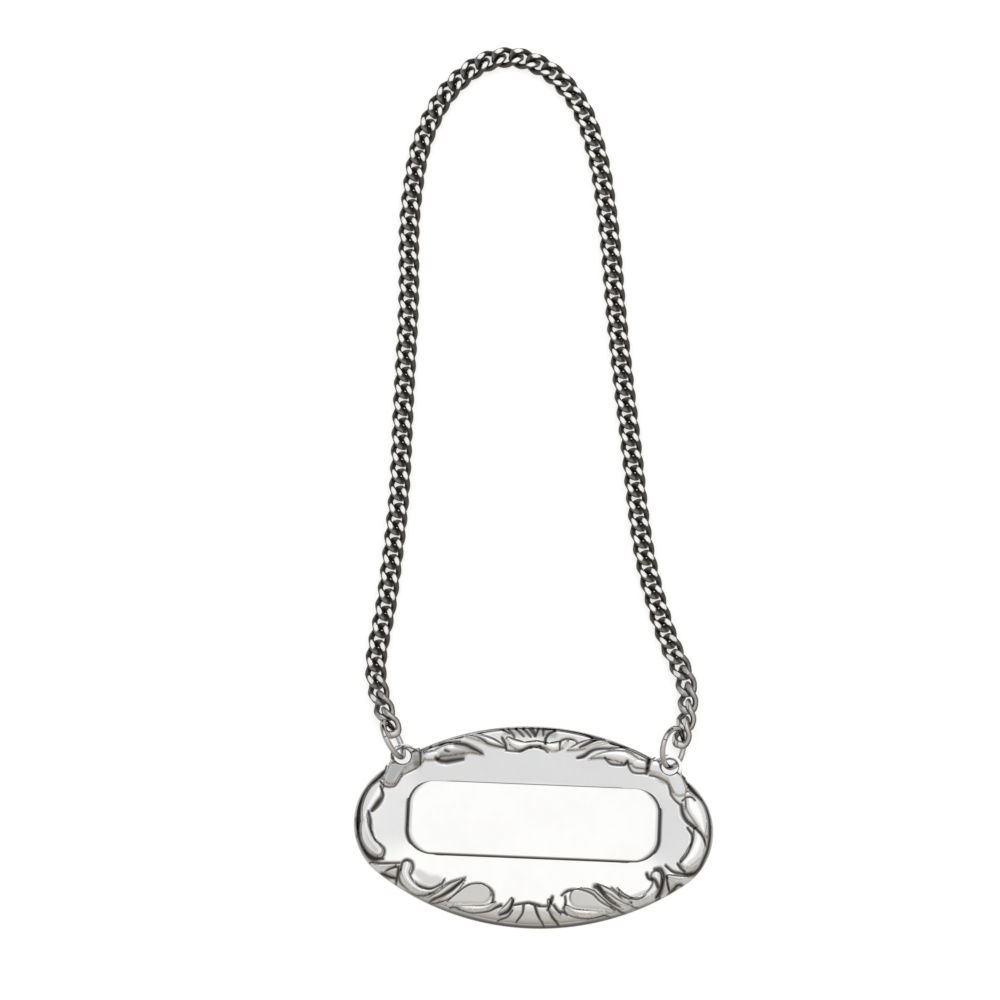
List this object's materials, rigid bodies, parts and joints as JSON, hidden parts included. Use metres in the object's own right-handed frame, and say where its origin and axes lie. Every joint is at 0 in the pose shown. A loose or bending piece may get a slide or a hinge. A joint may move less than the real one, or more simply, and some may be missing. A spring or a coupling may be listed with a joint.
{
  "type": "wine label",
  "caption": "Oval stamped silver wine label with a scroll border and a blank engraving panel, hung from a bottle's neck by jump rings and a loop of twisted curb chain",
  "frame": {"origin": "centre of the engraving panel's flat face, on the front of the label", "axes": "+Z out of the engraving panel's face, +X to the right along the label's length, +Y towards the chain; the label and its chain lie on a table at the height of the label's foot"},
  "size_m": [0.051, 0.1332, 0.006],
  "materials": {
    "silver_plate": "polished silver with fine hairlines",
    "silver_ring": "polished drawn silver wire",
    "silver_chain": "darkened silver wire with bright filed flats"
  },
  "bodies": {
    "label": {"label_plate": "silver_plate"},
    "rings": {"left_jump_ring": "silver_ring", "right_jump_ring": "silver_ring"},
    "pair_01": {"link_pair_01": "silver_chain"},
    "pair_02": {"link_pair_02": "silver_chain"},
    "pair_03": {"link_pair_03": "silver_chain"},
    "pair_04": {"link_pair_04": "silver_chain"},
    "pair_05": {"link_pair_05": "silver_chain"},
    "pair_06": {"link_pair_06": "silver_chain"},
    "pair_07": {"link_pair_07": "silver_chain"},
    "pair_08": {"link_pair_08": "silver_chain"},
    "pair_09": {"link_pair_09": "silver_chain"},
    "pair_10": {"link_pair_10": "silver_chain"},
    "pair_11": {"link_pair_11": "silver_chain"},
    "pair_12": {"link_pair_12": "silver_chain"},
    "pair_13": {"link_pair_13": "silver_chain"},
    "pair_14": {"link_pair_14": "silver_chain"},
    "pair_15": {"link_pair_15": "silver_chain"},
    "pair_16": {"link_pair_16": "silver_chain"},
    "pair_17": {"link_pair_17": "silver_chain"},
    "pair_18": {"link_pair_18": "silver_chain"},
    "pair_19": {"link_pair_19": "silver_chain"},
    "pair_20": {"link_pair_20": "silver_chain"},
    "pair_21": {"link_pair_21": "silver_chain"},
    "pair_22": {"link_pair_22": "silver_chain"},
    "pair_23": {"link_pair_23": "silver_chain"},
    "pair_24": {"link_pair_24": "silver_chain"},
    "pair_25": {"link_pair_25": "silver_chain"},
    "pair_26": {"link_pair_26": "silver_chain"},
    "pair_27": {"link_pair_27": "silver_chain"},
    "pair_28": {"link_pair_28": "silver_chain"},
    "pair_29": {"link_pair_29": "silver_chain"},
    "pair_30": {"link_pair_30": "silver_chain"},
    "pair_31": {"link_pair_31": "silver_chain"},
    "pair_32": {"link_pair_32": "silver_chain"},
    "pair_33": {"link_pair_33": "silver_chain"},
    "pair_34": {"link_pair_34": "silver_chain"},
    "pair_35": {"link_pair_35": "silver_chain"},
    "pair_36": {"link_pair_36": "silver_chain"},
    "pair_37": {"link_pair_37": "silver_chain"},
    "pair_38": {"link_pair_38": "silver_chain"},
    "pair_39": {"link_pair_39": "silver_chain"},
    "pair_40": {"link_pair_40": "silver_chain"},
    "pair_41": {"link_pair_41": "silver_chain"},
    "pair_42": {"link_pair_42": "silver_chain"},
    "pair_43": {"link_pair_43": "silver_chain"}
  },
  "joints": [
    {"name": "ring_swing", "type": "hinge", "parent": "label", "child": "rings", "pos_m": [0, 0.00996, -0.00035], "axis": [1, 0, 0], "range_deg": [-45, 18]},
    {"name": "fold_01", "type": "hinge", "parent": "rings", "child": "pair_01", "pos_m": [-0.00008, 0.01313, -0.00076], "axis": [1, 0.004, 0.0008], "range_deg": [-30, 6]},
    {"name": "fold_02", "type": "hinge", "parent": "pair_01", "child": "pair_02", "pos_m": [-0.00033, 0.01557, -0.00079], "axis": [1, 0.0077, 0.0018], "range_deg": [-10, 16]},
    {"name": "fold_03", "type": "hinge", "parent": "pair_02", "child": "pair_03", "pos_m": [-0.00068, 0.01807, -0.00092], "axis": [0.9999, 0.0112, 0.005], "range_deg": [-5, 16]},
    {"name": "fold_04", "type": "hinge", "parent": "pair_03", "child": "pair_04", "pos_m": [-0.0011, 0.02062, -0.00111], "axis": [-0.9999, -0.013, -0.0088], "range_deg": [-10, 12]},
    {"name": "fold_05", "type": "hinge", "parent": "pair_04", "child": "pair_05", "pos_m": [-0.00158, 0.02315, -0.00126], "axis": [-0.9999, -0.011, -0.0086], "range_deg": [-15, 12]},
    {"name": "fold_06", "type": "hinge", "parent": "pair_05", "child": "pair_06", "pos_m": [-0.00206, 0.02561, -0.00135], "axis": [-1, -0.0055, -0.0048], "range_deg": [-20, 15]},
    {"name": "fold_07", "type": "hinge", "parent": "pair_06", "child": "pair_07", "pos_m": [-0.00242, 0.02807, -0.00142], "axis": [-1, -0.0003, -0.0014], "range_deg": [-18, 17]},
    {"name": "fold_08", "type": "hinge", "parent": "pair_07", "child": "pair_08", "pos_m": [-0.00267, 0.03057, -0.00145], "axis": [-1, 0.0029, 0], "range_deg": [-19, 21]},
    {"name": "fold_09", "type": "hinge", "parent": "pair_08", "child": "pair_09", "pos_m": [-0.00296, 0.0331, -0.00145], "axis": [-1, 0.0061, 0], "range_deg": [-19, 21]},
    {"name": "fold_10", "type": "hinge", "parent": "pair_09", "child": "pair_10", "pos_m": [-0.00324, 0.03563, -0.00145], "axis": [-1, 0.0091, 0], "range_deg": [-19, 21]},
    {"name": "fold_11", "type": "hinge", "parent": "pair_10", "child": "pair_11", "pos_m": [-0.00349, 0.03818, -0.00145], "axis": [0.9999, -0.0117, 0], "range_deg": [-21, 19]},
    {"name": "fold_12", "type": "hinge", "parent": "pair_11", "child": "pair_12", "pos_m": [-0.00372, 0.04073, -0.00145], "axis": [0.9999, -0.0139, 0], "range_deg": [-21, 19]},
    {"name": "fold_13", "type": "hinge", "parent": "pair_12", "child": "pair_13", "pos_m": [-0.0039, 0.0433, -0.00145], "axis": [0.9999, -0.0156, 0], "range_deg": [-21, 19]},
    {"name": "fold_14", "type": "hinge", "parent": "pair_13", "child": "pair_14", "pos_m": [-0.00407, 0.04587, -0.00145], "axis": [0.9999, -0.0169, 0], "range_deg": [-22, 22]},
    {"name": "fold_15", "type": "hinge", "parent": "pair_14", "child": "pair_15", "pos_m": [-0.00422, 0.04845, -0.00145], "axis": [0.9998, -0.018, 0], "range_deg": [-22, 22]},
    {"name": "fold_16", "type": "hinge", "parent": "pair_15", "child": "pair_16", "pos_m": [-0.00439, 0.05103, -0.00145], "axis": [0.9998, -0.0189, 0], "range_deg": [-22, 22]},
    {"name": "fold_17", "type": "hinge", "parent": "pair_16", "child": "pair_17", "pos_m": [-0.00456, 0.05362, -0.00145], "axis": [-0.9998, 0.0198, 0], "range_deg": [-22, 22]},
    {"name": "fold_18", "type": "hinge", "parent": "pair_17", "child": "pair_18", "pos_m": [-0.00475, 0.0562, -0.00145], "axis": [-0.9998, 0.0208, 0], "range_deg": [-22, 22]},
    {"name": "fold_19", "type": "hinge", "parent": "pair_18", "child": "pair_19", "pos_m": [-0.00495, 0.05878, -0.00145], "axis": [-0.9998, 0.0218, 0], "range_deg": [-22, 22]},
    {"name": "fold_20", "type": "hinge", "parent": "pair_19", "child": "pair_20", "pos_m": [-0.00516, 0.06136, -0.00145], "axis": [-0.9997, 0.023, 0], "range_deg": [-22, 22]},
    {"name": "fold_21", "type": "hinge", "parent": "pair_20", "child": "pair_21", "pos_m": [-0.00535, 0.06394, -0.00145], "axis": [-0.9997, 0.0242, 0], "range_deg": [-22, 22]},
    {"name": "fold_22", "type": "hinge", "parent": "pair_21", "child": "pair_22", "pos_m": [-0.00554, 0.06653, -0.00145], "axis": [0.9997, -0.0254, 0], "range_deg": [-22, 22]},
    {"name": "fold_23", "type": "hinge", "parent": "pair_22", "child": "pair_23", "pos_m": [-0.00572, 0.06911, -0.00145], "axis": [0.9996, -0.0266, 0], "range_deg": [-22, 22]},
    {"name": "fold_24", "type": "hinge", "parent": "pair_23", "child": "pair_24", "pos_m": [-0.0059, 0.07169, -0.00145], "axis": [0.9996, -0.0277, 0], "range_deg": [-22, 22]},
    {"name": "fold_25", "type": "hinge", "parent": "pair_24", "child": "pair_25", "pos_m": [-0.00608, 0.07427, -0.00145], "axis": [0.9996, -0.0288, 0], "range_deg": [-22, 22]},
    {"name": "fold_26", "type": "hinge", "parent": "pair_25", "child": "pair_26", "pos_m": [-0.00627, 0.07686, -0.00145], "axis": [0.9996, -0.0299, 0], "range_deg": [-22, 22]},
    {"name": "fold_27", "type": "hinge", "parent": "pair_26", "child": "pair_27", "pos_m": [-0.00646, 0.07944, -0.00145], "axis": [-0.9995, 0.0308, 0], "range_deg": [-22, 22]},
    {"name": "fold_28", "type": "hinge", "parent": "pair_27", "child": "pair_28", "pos_m": [-0.00666, 0.08203, -0.00145], "axis": [-0.9995, 0.0315, 0], "range_deg": [-22, 22]},
    {"name": "fold_29", "type": "hinge", "parent": "pair_28", "child": "pair_29", "pos_m": [-0.00687, 0.08462, -0.00145], "axis": [-0.9995, 0.032, 0], "range_deg": [-22, 22]},
    {"name": "fold_30", "type": "hinge", "parent": "pair_29", "child": "pair_30", "pos_m": [-0.00708, 0.0872, -0.00145], "axis": [-0.9995, 0.0327, 0], "range_deg": [-22, 22]},
    {"name": "fold_31", "type": "hinge", "parent": "pair_30", "child": "pair_31", "pos_m": [-0.00727, 0.08979, -0.00145], "axis": [-0.9994, 0.0337, 0], "range_deg": [-22, 22]},
    {"name": "fold_32", "type": "hinge", "parent": "pair_31", "child": "pair_32", "pos_m": [-0.00743, 0.09237, -0.00145], "axis": [0.9994, -0.0351, 0], "range_deg": [-22, 22]},
    {"name": "fold_33", "type": "hinge", "parent": "pair_32", "child": "pair_33", "pos_m": [-0.00755, 0.09495, -0.00145], "axis": [0.9993, -0.0368, 0], "range_deg": [-22, 22]},
    {"name": "fold_34", "type": "hinge", "parent": "pair_33", "child": "pair_34", "pos_m": [-0.00765, 0.09752, -0.00145], "axis": [0.9993, -0.0385, 0], "range_deg": [-22, 22]},
    {"name": "fold_35", "type": "hinge", "parent": "pair_34", "child": "pair_35", "pos_m": [-0.00774, 0.10008, -0.00145], "axis": [0.9992, -0.0406, 0], "range_deg": [-20, 19]},
    {"name": "fold_36", "type": "hinge", "parent": "pair_35", "child": "pair_36", "pos_m": [-0.0078, 0.10262, -0.00145], "axis": [0.9991, -0.0433, 0], "range_deg": [-18, 18]},
    {"name": "fold_37", "type": "hinge", "parent": "pair_36", "child": "pair_37", "pos_m": [-0.00779, 0.10509, -0.00145], "axis": [-0.999, 0.0457, 0], "range_deg": [-18, 18]},
    {"name": "fold_38", "type": "hinge", "parent": "pair_37", "child": "pair_38", "pos_m": [-0.00773, 0.10753, -0.00145], "axis": [-0.9989, 0.0475, 0], "range_deg": [-16, 16]},
    {"name": "fold_39", "type": "hinge", "parent": "pair_38", "child": "pair_39", "pos_m": [-0.00766, 0.10987, -0.00145], "axis": [-0.9988, 0.0498, 0], "range_deg": [-12, 13]},
    {"name": "fold_40", "type": "hinge", "parent": "pair_39", "child": "pair_40", "pos_m": [-0.00762, 0.11201, -0.00145], "axis": [-0.9985, 0.0543, 0], "range_deg": [-12, 12]},
    {"name": "fold_41", "type": "hinge", "parent": "pair_40", "child": "pair_41", "pos_m": [-0.00756, 0.11394, -0.00145], "axis": [-0.9981, 0.0611, 0], "range_deg": [-11, 11]},
    {"name": "fold_42", "type": "hinge", "parent": "pair_41", "child": "pair_42", "pos_m": [-0.00752, 0.11555, -0.00145], "axis": [-0.9971, 0.0756, 0], "range_deg": [-9, 9]},
    {"name": "fold_43", "type": "hinge", "parent": "pair_42", "child": "pair_43", "pos_m": [-0.00746, 0.1166, -0.00145], "axis": [-0.9959, 0.091, 0], "range_deg": [-9, 9]}
  ]
}
